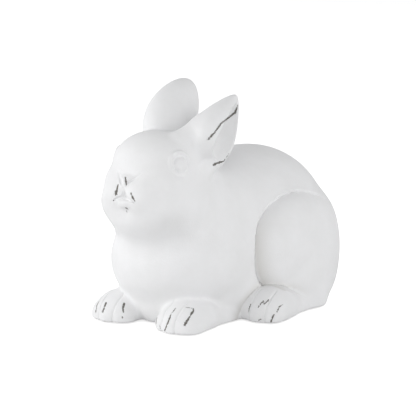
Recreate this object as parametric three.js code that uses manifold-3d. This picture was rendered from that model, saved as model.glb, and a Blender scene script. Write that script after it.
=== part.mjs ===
// Crouching rabbit ornament, cast in cement as separate members that are bedded together and painted white.
// Millimetres. +X is the rabbit's left, -Y its front, +Z up, and the ground is z = 0.
import * as THREE from 'three';
import { mergeVertices } from 'three/addons/utils/BufferGeometryUtils.js';
import Module from 'manifold-3d';

const wasm = await Module();
wasm.setup();

// Fits and walls
const BOND_GAP = 0.3;
const CASTING_STOCK = 4;
const PAD_THICKNESS = 1.2;
const BASE_Z = PAD_THICKNESS + BOND_GAP;

// The forms are sculpted from under the breast; the part's origin is under the middle of its length
const LENGTH_MIDDLE_Y = 27;

// Torso: ellipsoids as centre, half sizes and the width of the blend into the ones before
const TRUNK = [
  { at: [0, 55.5, 63], half: [68, 87.5, 77.5] },
  { at: [0, -39, 52], half: [58, 50, 48], blend: 40 },
  { at: [0, 85, 59], half: [63.5, 53.5, 67.5], blend: 25 },
  { at: [0, 70, 21.5], half: [79, 66, 48], blend: 25 },
  { at: [0, -34, 98], half: [45.5, 43.5, 41.5], blend: 25 },
  { at: [0, -26, 12], half: [40, 47.5, 26], blend: 14 },
];

// The hollow under the torso, as left by a core that draws out downwards
const CORE = { at: [0, 50, 0], half: [42, 68, 124] };

// Head
const SKULL = { at: [0, -60, 140], half: [35, 40, 28.5] };
const CHEEK = { at: [21, -64.5, 105.5], half: [26, 35, 24], pairBlend: 20, blend: 18 };
const MUZZLE = { at: [0, -84.5, 123.5], half: [33, 13, 15], blend: 12 };
const CHIN = { at: [0, -82, 97.5], half: [25.5, 20, 19], blend: 12 };
const WHISKER_PAD = { at: [10, -93, 115], half: [16, 14, 13], blend: 10 };
const NOSE = { at: [0, -99.5, 125.5], half: [8.5, 6.5, 6] };
const EYE = { at: [33.4, -73.2, 140.7], outward: [0.93, -0.29, 0.22], radius: 6.6, sunk: 4.4 };
const EYE_SOCKET = { radius: 11, raised: 9 };
const EYELID = { radius: 7.6, thickness: 1.4, sunk: 0.6, sides: 6 };

// Ears: a leaf-shaped body that narrows from root to tip, hollowed by a scoop turned from its face
const EAR = { thickness: 18, rootShare: 0.2 };
const EAR_SCOOP = { out: 19, depth: 22, halfWidth: 15, tipRim: 5 };
const EAR_LEFT = {
  root: [26.5, -32, 148], tip: [36.5, 0, 192], halfWidth: 27, taper: 0.52,
  faces: [0.76, 0.55, 0.2], scoopTurn: -26,
};
const EAR_RIGHT = {
  root: [-15, -38, 156.5], tip: [-22, 12.5, 199.5], halfWidth: 24.5, taper: 0.2,
  faces: [-0.76, 0.5, 0.25], scoopTurn: 0,
};

// Limbs and tail, on the left side where there are two
const HAUNCH = { at: [50.5, 59, 54.5], half: [29, 64, 52] };
const HAUNCH_POCKET = {
  at: [0, 59, 54.5], halfLength: 62, halfHeight: 49.7, floorX: 48, openX: 95, bottomZ: 18,
};
const HIND_FOOT = {
  toe: [67, 6, 10], heel: [68, 64, 2], toeRadius: 18, heelRadius: 11, backY: 46,
  toes: { x: 67, y: -10, z: 9, spread: 11.5, radius: 9.5 },
};
const FOREPAW = {
  toe: [35.5, -70, 9.5], heel: [45, -8, 0], toeRadius: 15.5, heelRadius: 8.5, backY: -12,
  toes: { x: 35, y: -80.5, z: 7, spread: 10, radius: 11 },
};
const TOE = { length: 24, rise: 5, rootSpread: 0.75, outerSetback: 3, blend: 1.5, footBlend: 6 };
const TAIL = { at: [0, 148, 36], half: [17, 15, 17] };

// Blends between the members, wider where the creases fade out; the haunch fades on a slant
const HAUNCH_BLEND = { front: 3, rear: 20, fromY: 60, toY: 105 };
const HAUNCH_FADE_TILT = 0.6;
const FOOT_BLEND = { front: 2, rear: 24, fromY: 40, toY: 75 };
const HEAD_BLEND = { front: 20, rear: 5, fromY: -75, toY: -30 };
const EAR_BLEND = 5;
const EAR_PAIR_BLEND = 1;
const FOREPAW_BLEND = 6;
const TAIL_BLEND = 5;

// A seat stands outside the form that it holds, clear of the swell where the form blends into its neighbour
const SEAT_CLEARANCE = 0.6;
const SWELL_SHARE = 0.25;

// Steel inside and rubber underneath
const DOWEL = { radius: 4, length: 48, axis: [0, -0.69, 0.72] };
const EAR_WIRE = { radius: 2, from: -32, to: 8, behind: 7 };
const PAD_RADIUS = 6.5;
const FRONT_PAD = [34, -66];
const REAR_PAD = [40, 100];

// Moulds: the middle that each casting is measured from, its rough half sizes and its fineness
const TORSO_MOULD = { centre: [0, 32, 60], half: [70, 105, 70], detail: 8 };
const HEAD_MOULD = { centre: [0, -74, 120], half: [44, 44, 44], detail: 8 };
const HAUNCH_MOULD = { centre: [62, 57, 54], half: [24, 64, 52], detail: 5 };
const HIND_FOOT_MOULD = { centre: [67, 10, 10], half: [20, 34, 20], detail: 5 };
const FOREPAW_MOULD = { centre: [36, -54, 12], half: [19, 44, 20], detail: 5 };
const TAIL_MOULD = { centre: TAIL.at, half: TAIL.half, detail: 2 };
const EAR_DETAIL = 4;
const SEAT_DETAIL = 4;
const ROUND_SIDES = 16;
const SCOOP_SIDES = 24;
const POCKET_SIDES = 40;
const CORE_SIDES = 24;
const BLOCK = { size: 400, depth: 60 };
const MARCH_STEP = 1.5;
const BISECTIONS = 24;
const TINY = 1e-9;
const WORLD_AXES = [[1, 0, 0], [0, 1, 0], [0, 0, 1]];

// Finishes
const PAINTED_CEMENT = { color: 0xf1f0ec, roughness: 0.85, metalness: 0 };
const STEEL = { color: 0x8c8e90, roughness: 0.5, metalness: 0.9 };
const RUBBER = { color: 0x4a4846, roughness: 0.9, metalness: 0 };

// Vectors as plain triples
const add = (a, b, scale = 1) => a.map((v, i) => v + b[i] * scale);
const dot = (a, b) => a[0] * b[0] + a[1] * b[1] + a[2] * b[2];
const unit = (a) => a.map((v) => v / Math.hypot(...a));
const cross = (a, b) => new THREE.Vector3(...a).cross(new THREE.Vector3(...b)).toArray();
const mirrored = (p) => [Math.abs(p[0]), p[1], p[2]];
const onSide = (p, side) => [side * p[0], p[1], p[2]];

// Distance fields: negative inside, close to millimetres near the surface
function ellipsoid(p, form) {
  const q = add(p, form.at, -1);
  const scaled = q.map((v, i) => v / form.half[i]);
  const reach = Math.hypot(...scaled) + TINY;
  const slope = Math.hypot(...scaled.map((v, i) => v / form.half[i])) + TINY;
  return (reach * (reach - 1)) / slope;
}

function taperedRod(p, from, to, fromRadius, toRadius) {
  const run = add(to, from, -1);
  const start = add(p, from, -1);
  const share = Math.min(1, Math.max(0, dot(start, run) / dot(run, run)));
  return Math.hypot(...add(start, run, -share)) - (fromRadius + (toRadius - fromRadius) * share);
}

function blend(a, b, width) {
  const near = Math.max(width - Math.abs(a - b), 0) / width;
  return Math.min(a, b) - (near * near * width) / 4;
}

function ramp(value, { front, rear, fromY, toY }) {
  return front + (rear - front) * THREE.MathUtils.smoothstep(value, fromY, toY);
}

function trunkForm(p) {
  const [first, ...others] = TRUNK;
  return others.reduce((d, form) => blend(d, ellipsoid(p, form), form.blend), ellipsoid(p, first));
}

function headForm(p) {
  const left = ellipsoid(p, CHEEK);
  const right = ellipsoid(onSide(p, -1), CHEEK);
  let d = blend(ellipsoid(p, SKULL), blend(left, right, CHEEK.pairBlend), CHEEK.blend);
  d = blend(d, ellipsoid(p, MUZZLE), MUZZLE.blend);
  d = blend(d, ellipsoid(p, CHIN), CHIN.blend);
  return blend(d, ellipsoid(mirrored(p), WHISKER_PAD), WHISKER_PAD.blend);
}

// An ear's own axes: along it from root to tip, out of its face, and across its width
function earFrame(ear) {
  const run = add(ear.tip, ear.root, -1);
  const length = Math.hypot(...run);
  const along = unit(run);
  const out = unit(add(ear.faces, along, -dot(ear.faces, along)));
  const centre = add(ear.root, run, (1 - EAR.rootShare) / 2);
  const half = [((1 + EAR.rootShare) / 2) * length, EAR.thickness, ear.halfWidth];
  return { axes: [along, out, cross(along, out)], centre, half };
}

// How wide an ear is at a place along it, against its middle
function earShare(along, ear, frame) {
  return 1 - ear.taper * THREE.MathUtils.clamp(along / frame.half[0], -1, 1);
}

function earForm(ear, frame) {
  return (p) => {
    const q = add(p, frame.centre, -1);
    const [along, out, across] = frame.axes.map((axis) => dot(q, axis));
    const share = earShare(along, ear, frame);
    return ellipsoid([along, out / share, across / share], { at: [0, 0, 0], half: frame.half });
  };
}

function toesForm(p, toes) {
  const rods = [-1, 0, 1].map((step) => {
    const root = [toes.x + step * toes.spread * TOE.rootSpread, toes.y + TOE.length, toes.z + TOE.rise];
    const tip = [toes.x + step * toes.spread, toes.y + TOE.outerSetback * Math.abs(step), toes.z];
    return taperedRod(p, root, tip, toes.radius, toes.radius);
  });
  return rods.reduce((d, toe) => blend(d, toe, TOE.blend));
}

function footForm(p, foot) {
  const q = mirrored(p);
  const sole = taperedRod(q, foot.toe, foot.heel, foot.toeRadius, foot.heelRadius);
  return blend(sole, toesForm(q, foot.toes), TOE.footBlend);
}

const haunchForm = (p) => ellipsoid(mirrored(p), HAUNCH);
const haunchBlend = (p) => ramp(p[1] - HAUNCH_FADE_TILT * (p[2] - HAUNCH.at[2]), HAUNCH_BLEND);
const hindFootForm = (p) => footForm(p, HIND_FOOT);
const forepawForm = (p) => footForm(p, FOREPAW);
const tailForm = (p) => ellipsoid(p, TAIL);
const leftEar = earFrame(EAR_LEFT);
const rightEar = earFrame(EAR_RIGHT);
const leftEarForm = earForm(EAR_LEFT, leftEar);
const rightEarForm = earForm(EAR_RIGHT, rightEar);

// The whole outside, with every member blended into its neighbours
function rabbitForm(p) {
  const ears = blend(leftEarForm(p), rightEarForm(p), EAR_PAIR_BLEND);
  const upper = blend(headForm(p), ears, EAR_BLEND);
  const body = blend(trunkForm(p), haunchForm(p), haunchBlend(p));
  let d = blend(body, upper, ramp(p[1], HEAD_BLEND));
  d = blend(d, forepawForm(p), FOREPAW_BLEND);
  d = blend(d, hindFootForm(p), ramp(p[1], FOOT_BLEND));
  return blend(d, tailForm(p), TAIL_BLEND);
}

// Solids
function toSolid(geometry) {
  const bare = geometry.clone();
  bare.deleteAttribute('normal');
  bare.deleteAttribute('uv');
  const merged = mergeVertices(bare);
  const vertProperties = new Float32Array(merged.attributes.position.array);
  const triVerts = new Uint32Array(merged.index.array);
  return new wasm.Manifold(new wasm.Mesh({ numProp: 3, vertProperties, triVerts }));
}

function surfaceDistance(field, centre, direction) {
  let far = MARCH_STEP;
  while (field(add(centre, direction, far)) < 0) far += MARCH_STEP;
  let near = far - MARCH_STEP;
  for (let i = 0; i < BISECTIONS; i += 1) {
    const middle = (near + far) / 2;
    if (field(add(centre, direction, middle)) < 0) near = middle;
    else far = middle;
  }
  return (near + far) / 2;
}

// A ball whose points are pushed out from the middle of a mould onto the surface of a field
function moulded(field, { centre, half, axes = WORLD_AXES, detail }) {
  const ball = new THREE.IcosahedronGeometry(1, detail);
  ball.deleteAttribute('normal');
  ball.deleteAttribute('uv');
  const skin = mergeVertices(ball);
  const points = skin.attributes.position;
  for (let i = 0; i < points.count; i += 1) {
    const share = [points.getX(i), points.getY(i), points.getZ(i)];
    const direction = unit(axes.reduce((sum, axis, k) => add(sum, axis, share[k] * half[k]), [0, 0, 0]));
    points.setXYZ(i, ...add(centre, direction, surfaceDistance(field, centre, direction)));
  }
  return toSolid(skin);
}

function ball(centre, half, axes = WORLD_AXES, sides = ROUND_SIDES) {
  const geometry = new THREE.SphereGeometry(1, sides, sides / 2);
  const columns = axes.map((axis, k) => new THREE.Vector3(...axis).multiplyScalar(half[k]));
  geometry.applyMatrix4(new THREE.Matrix4().makeBasis(...columns).setPosition(...centre));
  return toSolid(geometry);
}

function turnTo(geometry, from, to) {
  const ends = [from, to].map((v) => new THREE.Vector3(...v));
  return geometry.applyQuaternion(new THREE.Quaternion().setFromUnitVectors(...ends));
}

function rod(radius, from, to) {
  const run = add(to, from, -1);
  const geometry = new THREE.CylinderGeometry(radius, radius, Math.hypot(...run), ROUND_SIDES);
  turnTo(geometry, [0, 1, 0], unit(run)).translate(...add(from, run, 0.5));
  return toSolid(geometry);
}

// A rod and the blind hole that it is bedded in
function beddedRod(radius, from, to) {
  const axis = unit(add(to, from, -1));
  const hole = rod(radius + BOND_GAP, add(from, axis, -BOND_GAP), add(to, axis, BOND_GAP));
  return { pin: rod(radius, from, to), hole };
}

// Members: each has its form, the mould that it comes from and the solid of its seat, a gap larger or none
const seatMargin = (blendWidth) => blendWidth * SWELL_SHARE + SEAT_CLEARANCE;

function mouldedMember(form, blendAt, mould) {
  const seatForm = (p) => form(p) - seatMargin(blendAt(p));
  const seat = (gap) => moulded((p) => seatForm(p) - gap, { ...mould, detail: SEAT_DETAIL });
  return { seatForm, seat, mould };
}

// A limb whose casting ends at a plane behind its foot
function limbMember(form, blendAt, backY, mould, side) {
  const cutForm = (p) => Math.max(form(p), p[1] - backY);
  return mouldedMember(cutForm, blendAt, { ...mould, centre: onSide(mould.centre, side) });
}

// A haunch is a plug in an oval pocket in the torso's flank
function haunchMember(side) {
  const { at, halfLength, halfHeight, floorX, openX, bottomZ } = HAUNCH_POCKET;
  const oval = { at, half: [Infinity, halfLength, halfHeight] };
  const seatForm = (p) => Math.max(ellipsoid(p, oval), bottomZ - p[2], floorX - side * p[0]);
  const seat = (gap) => {
    const depth = openX - floorX + gap;
    const plug = new THREE.CylinderGeometry(1, 1, depth, POCKET_SIDES).rotateZ(Math.PI / 2);
    plug.scale(1, halfLength + gap, halfHeight + gap).translate(side * (openX - depth / 2), at[1], at[2]);
    return toSolid(plug).subtract(belowBlock(bottomZ - gap));
  };
  return { seatForm, seat, mould: { ...HAUNCH_MOULD, centre: onSide(HAUNCH_MOULD.centre, side) } };
}

// The outside as far as a form reaches, less the seats of the members that it carries
function casting(mould, reach, carried) {
  const solid = moulded((p) => Math.max(rabbitForm(p), reach(p)), mould);
  return carried.reduce((rest, other) => rest.subtract(other.seat(BOND_GAP)), solid);
}

function memberCasting(member, carried = []) {
  const reach = (p) => member.seatForm(p) - CASTING_STOCK;
  return casting(member.mould, reach, carried).intersect(member.seat(0));
}

// What the torso keeps of a limb behind the plane where the limb's own casting ends
function limbEnd(p, form, blendWidth, backY) {
  return Math.max(form(p) - seatMargin(blendWidth), backY - CASTING_STOCK - p[1]);
}

// The torso keeps its own form, the swell of its blends, the haunches' faded ends, the heels and the elbows
function torsoReach(p) {
  const width = haunchBlend(p);
  const haunchEnd = haunchForm(p) + HAUNCH_BLEND.rear - width;
  const body = Math.min(trunkForm(p), haunchEnd) - seatMargin(width);
  const heel = limbEnd(p, hindFootForm, ramp(p[1], FOOT_BLEND), HIND_FOOT.backY);
  const elbow = limbEnd(p, forepawForm, FOREPAW_BLEND, FOREPAW.backY);
  return Math.min(body, heel, elbow);
}

function belowBlock(topZ) {
  const { size, depth } = BLOCK;
  return toSolid(new THREE.BoxGeometry(size, size, depth).translate(0, 0, topZ - depth / 2));
}

const eyeFrame = (side) => ({ surface: onSide(EYE.at, side), outward: unit(onSide(EYE.outward, side)) });
const sphere = (centre, radius) => ball(centre, [radius, radius, radius]);

function eyeSocket(side) {
  const { surface, outward } = eyeFrame(side);
  return sphere(add(surface, outward, EYE_SOCKET.raised), EYE_SOCKET.radius);
}

function eye(side) {
  const { surface, outward } = eyeFrame(side);
  const lid = new THREE.TorusGeometry(EYELID.radius, EYELID.thickness, EYELID.sides, ROUND_SIDES);
  turnTo(lid, [0, 0, 1], outward).translate(...add(surface, outward, -EYELID.sunk));
  return sphere(add(surface, outward, -EYE.sunk), EYE.radius).add(toSolid(lid));
}

// The scoop is a ball in the ear's own axes, turned about its length and narrowed with it
function earScoop(ear, frame) {
  const { out, depth, halfWidth, tipRim } = EAR_SCOOP;
  const geometry = new THREE.SphereGeometry(1, SCOOP_SIDES, SCOOP_SIDES / 2);
  geometry.scale(frame.half[0] - tipRim, depth, halfWidth).translate(0, out, 0);
  geometry.rotateX(THREE.MathUtils.degToRad(ear.scoopTurn));
  const points = geometry.attributes.position;
  for (let i = 0; i < points.count; i += 1) {
    const share = earShare(points.getX(i), ear, frame);
    const local = [points.getX(i), points.getY(i) * share, points.getZ(i) * share];
    points.setXYZ(i, ...frame.axes.reduce((sum, axis, k) => add(sum, axis, local[k]), frame.centre));
  }
  return toSolid(geometry);
}

function earWire(ear, { axes }) {
  const start = add(ear.root, axes[1], -EAR_WIRE.behind);
  return beddedRod(EAR_WIRE.radius, add(start, axes[0], EAR_WIRE.from), add(start, axes[0], EAR_WIRE.to));
}

// The dowel stands half in the torso and half in the head
function neckDowel(head) {
  const axis = unit(DOWEL.axis);
  const back = axis.map((v) => -v);
  const middle = add(head.mould.centre, back, surfaceDistance(head.seatForm, head.mould.centre, back));
  const ends = [-0.5, 0.5].map((share) => add(middle, axis, share * DOWEL.length));
  return beddedRod(DOWEL.radius, ...ends);
}

const pad = ([x, y]) => rod(PAD_RADIUS, [x, y, 0], [x, y, PAD_THICKNESS]);

// Assembly
const pieces = new THREE.Group();
pieces.position.y = -LENGTH_MIDDLE_Y;

function place(name, solid, finish) {
  const { vertProperties, triVerts } = solid.getMesh();
  const geometry = new THREE.BufferGeometry();
  geometry.setAttribute('position', new THREE.BufferAttribute(vertProperties, 3));
  geometry.setIndex(new THREE.BufferAttribute(triVerts, 1));
  const mesh = new THREE.Mesh(geometry, new THREE.MeshStandardMaterial(finish));
  mesh.name = name;
  pieces.add(mesh);
}

const ground = belowBlock(BASE_Z);
const headMember = mouldedMember(headForm, (p) => ramp(p[1], HEAD_BLEND), HEAD_MOULD);
const tailMember = mouldedMember(tailForm, () => TAIL_BLEND, TAIL_MOULD);
const dowel = neckDowel(headMember);
const ears = [
  { name: 'left', ear: EAR_LEFT, frame: leftEar, form: leftEarForm },
  { name: 'right', ear: EAR_RIGHT, frame: rightEar, form: rightEarForm },
].map(({ name, ear, frame, form }) => ({
  name,
  member: mouldedMember(form, () => EAR_BLEND, { ...frame, detail: EAR_DETAIL }),
  scoop: earScoop(ear, frame),
  wire: earWire(ear, frame),
}));
const footBlend = (p) => ramp(p[1], FOOT_BLEND);
const limbs = [['left', 1], ['right', -1]].map(([name, side]) => ({
  name,
  side,
  haunch: haunchMember(side),
  hindFoot: limbMember(hindFootForm, footBlend, HIND_FOOT.backY, HIND_FOOT_MOULD, side),
  forepaw: limbMember(forepawForm, () => FOREPAW_BLEND, FOREPAW.backY, FOREPAW_MOULD, side),
}));

const earMembers = ears.map(({ member }) => member);
const limbMembers = limbs.flatMap(({ haunch, hindFoot, forepaw }) => [haunch, hindFoot, forepaw]);
const carriedByTorso = [headMember, tailMember, ...limbMembers, ...earMembers];
const torso = casting(TORSO_MOULD, torsoReach, carriedByTorso);
const hollow = ball(CORE.at, CORE.half, WORLD_AXES, CORE_SIDES);
place('torso', torso.subtract(hollow).subtract(dowel.hole).subtract(ground), PAINTED_CEMENT);
place('tail', memberCasting(tailMember), PAINTED_CEMENT);

let head = memberCasting(headMember, earMembers).subtract(dowel.hole);
for (const { scoop, wire } of ears) head = head.subtract(scoop).subtract(wire.hole);
for (const { side } of limbs) head = head.subtract(eyeSocket(side)).add(eye(side));
head = head.add(ball(NOSE.at, NOSE.half));
place('head', head, PAINTED_CEMENT);
place('neck_dowel', dowel.pin, STEEL);

for (const { name, member, scoop, wire } of ears) {
  const solid = memberCasting(member).subtract(scoop).subtract(wire.hole);
  place(`ear_${name}`, solid, PAINTED_CEMENT);
  place(`ear_wire_${name}`, wire.pin, STEEL);
}

for (const { name, side, haunch, hindFoot, forepaw } of limbs) {
  place(`haunch_${name}`, memberCasting(haunch, [hindFoot]), PAINTED_CEMENT);
  place(`hind_foot_${name}`, memberCasting(hindFoot).subtract(ground), PAINTED_CEMENT);
  place(`forepaw_${name}`, memberCasting(forepaw, [hindFoot]).subtract(ground), PAINTED_CEMENT);
  place(`pad_front_${name}`, pad([side * FRONT_PAD[0], FRONT_PAD[1]]), RUBBER);
  place(`pad_rear_${name}`, pad([side * REAR_PAD[0], REAR_PAD[1]]), RUBBER);
}

const rabbit = new THREE.Group();
rabbit.add(pieces);

export default rabbit;
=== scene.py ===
"""Looks of a white cement rabbit ornament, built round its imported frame.

The sculpture is set out in millimetres from a point under the breast: +X is the rabbit's left, -Y its front
and +Z up. Each casting is one closed mesh, and together they share one smooth, painted outside.
"""
import math

import bmesh
import bpy
import numpy as np
from mathutils import Matrix, Vector


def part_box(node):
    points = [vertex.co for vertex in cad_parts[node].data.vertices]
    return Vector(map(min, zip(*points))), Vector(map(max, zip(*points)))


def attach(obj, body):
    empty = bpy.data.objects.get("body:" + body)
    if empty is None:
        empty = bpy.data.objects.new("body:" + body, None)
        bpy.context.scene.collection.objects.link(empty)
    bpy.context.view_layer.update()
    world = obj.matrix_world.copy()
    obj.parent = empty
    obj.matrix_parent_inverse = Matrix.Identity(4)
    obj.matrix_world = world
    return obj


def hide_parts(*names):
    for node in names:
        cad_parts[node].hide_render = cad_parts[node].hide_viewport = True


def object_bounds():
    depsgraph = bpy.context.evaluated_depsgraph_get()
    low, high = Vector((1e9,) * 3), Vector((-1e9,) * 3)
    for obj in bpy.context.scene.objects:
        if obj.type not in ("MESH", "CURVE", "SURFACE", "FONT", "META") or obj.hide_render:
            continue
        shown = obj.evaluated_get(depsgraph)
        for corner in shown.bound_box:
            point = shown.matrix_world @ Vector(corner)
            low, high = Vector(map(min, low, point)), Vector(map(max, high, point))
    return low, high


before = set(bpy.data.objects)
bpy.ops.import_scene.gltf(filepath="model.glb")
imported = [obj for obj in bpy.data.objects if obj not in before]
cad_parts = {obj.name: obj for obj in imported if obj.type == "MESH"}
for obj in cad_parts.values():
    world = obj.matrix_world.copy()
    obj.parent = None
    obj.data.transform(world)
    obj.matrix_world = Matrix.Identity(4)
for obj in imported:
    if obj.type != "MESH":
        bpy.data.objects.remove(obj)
cad_low, cad_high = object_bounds()

# Units, a length too small to divide by, and where the sculpture lies in the frame
MM = 0.001
TINY = 1e-9
BREAST_Y = 27.0
BASE_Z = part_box("torso")[0].z / MM

# The photograph's view, in millimetres and degrees; its middle is in pixels
IMAGE_SIZE = 416
PIXEL_SIZE = 0.88
VIEW_YAW = 37.0
VIEW_RISE = 9.5
VIEW_DISTANCE = 1400.0
VIEW_TARGET = (0.0, 10.0, 90.0)
VIEW_MIDDLE = (209.0, 207.5)
SENSOR_WIDTH = 36.0


def lump(at, half, blend=0.0):
    """An ellipsoid: its centre, its half sizes and the width of its blend into the forms before it."""
    return {"at": np.array(at, float), "half": np.array(half, float), "blend": blend}


# Torso and the hollow under it
TRUNK = [
    lump((0, 55.5, 63), (68, 87.5, 77.5)),
    lump((0, -39, 52), (58, 50, 48), 40),
    lump((0, 85, 59), (63.5, 53.5, 67.5), 25),
    lump((0, 70, 21.5), (79, 66, 48), 25),
    lump((0, -34, 98), (45.5, 43.5, 41.5), 25),
    lump((0, -26, 12), (40, 47.5, 26), 14),
    lump((0, -1, 17), (50.5, 29, 32.5), 26),
]
CORE = lump((0, 50, 0), (42, 68, 124), 3)
BASE_EDGE = 2.0

# Head
SKULL = lump((0, -64.5, 138.5), (36, 33.5, 27))
CHEEK = lump((21, -64.5, 105.5), (26, 35, 24), 18)
CHEEK_PAIR_BLEND = 20.0
MUZZLE = lump((0, -84.5, 123.5), (33, 13, 15), 12)
CHIN = lump((0, -82, 97.5), (25.5, 20, 19), 12)
WHISKER_PAD = lump((10, -93, 115), (16, 14, 13), 10)
NOSE = lump((0, -99.5, 125.5), (8.5, 6.5, 6), 3)

# Face: eyes on the left side, and grooves as points along their middle
EYE = {"at": (34.6, -74.2, 139.8), "outward": (0.93, -0.33, 0.15), "radius": 8.4, "sunk": 6.0, "blend": 0.6}
EYE_SOCKET = {"radius": 14.0, "raised": 11.6, "blend": 2.5}
EYELID = {"radius": 9.2, "thickness": 1.4, "sunk": 1.9, "raised": 1.6, "blend": 2.0}
NOSTRIL = {
    "path": [(2.6, -105.8, 124.8), (6.5, -103, 128.7), (12, -99, 133.3)],
    "radii": (1.4, 1.3, 0.5), "blend": 0.8,
}
LIP_CLEFT = {
    "path": [(0, -106, 122), (0, -105.6, 118.4), (0, -105, 114.4)], "radii": (0.7, 1.2, 2.6), "blend": 1.2,
}
MOUTH = {
    "path": [(0, -105.6, 114), (7, -107, 112), (14, -105.4, 109.4)],
    "radii": (2.0, 1.0, -0.4), "blend": 1.0,
}
LOWER_LIP = lump((0, -101, 108.5), (7, 6.5, 4.5), 3)
FACE_BOX = ((-60, -125, 85), (60, -50, 165))

# Ears: a leaf-shaped body from root to tip, hollowed by a scoop on the side that it opens to
EAR = {"thickness": 18.0, "root_share": 0.2}
EAR_SCOOP = {"out": 19.0, "depth": 22.0, "width": 15.0, "tip_rim": 5.0, "edge": 2.0}
EARS = {
    "left": {
        "root": (26.5, -32, 148), "tip": (36.5, 0, 192), "width": 27.0, "taper": 0.52,
        "faces": (0.76, 0.55, 0.2), "scoop_turn": -26.0,
    },
    "right": {
        "root": (-15, -38, 156.5), "tip": (-22, 12.5, 199.5), "width": 24.5, "taper": 0.2,
        "faces": (-0.76, 0.5, 0.25), "scoop_turn": 0.0,
    },
}

# Folds at the root of the left ear: start, end, and the radius at each
EAR_SKIRT = {
    "front": ((28, -38, 170), (20, -58, 157), 6.0, 7.5),
    "rear": ((31.5, -28.3, 139), (33, -46, 125), 8.6, 5.4),
}
EAR_SKIRT_BLEND = 7.0

# Limbs and tail, on the left side where there are two
HAUNCH = lump((50.5, 59, 54.5), (29, 64, 52))
HAUNCH_POCKET = {"oval": lump((0, 59, 54.5), (math.inf, 62, 49.7)), "floor_x": 48.0, "bottom_z": 18.0}
HIND_FOOT = {"toe": (67, 6, 10), "heel": (68, 64, 2), "radii": (18.0, 11.0), "back_y": 46.0}
HIND_TOES = {"x": 67.0, "y": -7.5, "z": 5.5, "spread": 9.5, "radius": 10.0, "lines": (63.5, 78.0)}
FOREPAW = {"toe": (35.5, -70, 9.5), "heel": (45, -8, 0), "radii": (15.5, 8.5), "back_y": -12.0}
FORE_TOES = {"x": 35.0, "y": -81.5, "z": 4.5, "spread": 10.0, "radius": 11.5, "lines": (26.5, 41.0)}
TOE = {
    "length": 24.0, "rise": 6.0, "root_spread": 0.75, "outer_setback": 3.0, "blend": 2.5, "foot_blend": 14.0,
}
TOE_LINE = {"depth": 0.9, "half_width": 1.6, "length": 15.0, "fade": 7.0}
TAIL = lump((0, 148, 36), (17, 15, 17))

# Blends between the members, wider towards the rump where the creases fade out
HAUNCH_BLEND = {"front": 3.0, "rear": 22.0, "from_y": 45.0, "to_y": 100.0}
HAUNCH_FADE = {"above": 0.6, "below": 1.3, "crease_below": 0.045}
FOOT_BLEND = {"front": 3.5, "rear": 24.0, "from_y": 40.0, "to_y": 75.0}
HEAD_BLEND = {"front": 20.0, "rear": 5.0, "from_y": -75.0, "to_y": -30.0}
EAR_BLENDS = {"right": 5.0, "left": 12.0}
FOREPAW_BLEND = 5.0
TAIL_BLEND = 5.0

# Creases along the joins: how deep they sink, and how far they reach on the body and on the limb
HAUNCH_CREASE = {"front": 3.2, "rear": 0.0, "from_y": 15.0, "to_y": 100.0, "on_body": 0.9, "on_limb": 9.0}
FOOT_CREASE = {"front": 0.6, "rear": 0.0, "from_y": 20.0, "to_y": 60.0, "on_body": 1.5, "on_limb": 1.5}

# Painted shade, a grey laid into the creases where shade falls: how much, and how far it reaches on the body
# and on the limb
HAUNCH_PAINTED_SHADE = {"front": 1.0, "rear": 0.0, "from_y": 0.0, "to_y": 90.0, "on_body": 1.5, "on_limb": 15.0}
FOOT_PAINTED_SHADE = {"front": 0.9, "rear": 0.0, "from_y": 20.0, "to_y": 54.0, "on_body": 9.0, "on_limb": 1.5}
PAINTED_SHADE_REACH = 15.0

# The haunch's painted shade lies inside its edge, by less higher up, where it also fades sooner
HAUNCH_PAINTED_SHADE_INSET = {"middle": 3.0, "rise": 0.07}
HAUNCH_PAINTED_SHADE_FADE = 1.5

# A casting reaches past its swell into its neighbour, and its edge runs straight in through the skin
SEAT_CLEARANCE = 0.6
SWELL_SHARE = 0.25
SKIN = 3.2

# Boxes outside which a form is too far away to matter
FAR = 60.0
HEAD_BOX = ((-75, -130, 50), (75, 10, 195))
EAR_BOX = ((-90, -90, 105), (90, 60, 235))
FOREPAW_BOX = ((0, -120, -30), (75, 20, 55))
HIND_FOOT_BOX = ((20, -40, -40), (120, 120, 70))
TAIL_BOX = ((-40, 110, -5), (40, 190, 80))

# Sculpting net: its cells, the seams between castings, settling onto the surface, and the castings
CELL = 1.6
NET_MARGIN = 2
SEAM_WEIGHT = 0.001
SEAM_SHARE = 0.5
SETTLE_STEPS = 4
SETTLE_REACH = 1.2
SLOPE_STEP = 0.08
LEAST_STEEPNESS = 0.1
CASTINGS = [
    "torso", "tail", "haunch_left", "haunch_right", "forepaw_left", "forepaw_right",
    "hind_foot_left", "hind_foot_right", "head", "ear_left", "ear_right",
]

# Castings with fine carving, whose quads are split into four
FINE_CASTINGS = {
    "forepaw_left", "forepaw_right", "hind_foot_left", "hind_foot_right", "head", "ear_left", "ear_right",
}

# Pads under the feet and steel inside; a pad's soft edge is in metres, its inner ring a share of its radius
PAD_NODES = ["pad_front_left", "pad_front_right", "pad_rear_left", "pad_rear_right"]
STEEL_NODES = ["neck_dowel", "ear_wire_left", "ear_wire_right"]
PAD_SIDES = 48
PAD_EDGE = 0.0004
PAD_MIDDLE = 0.5

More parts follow.
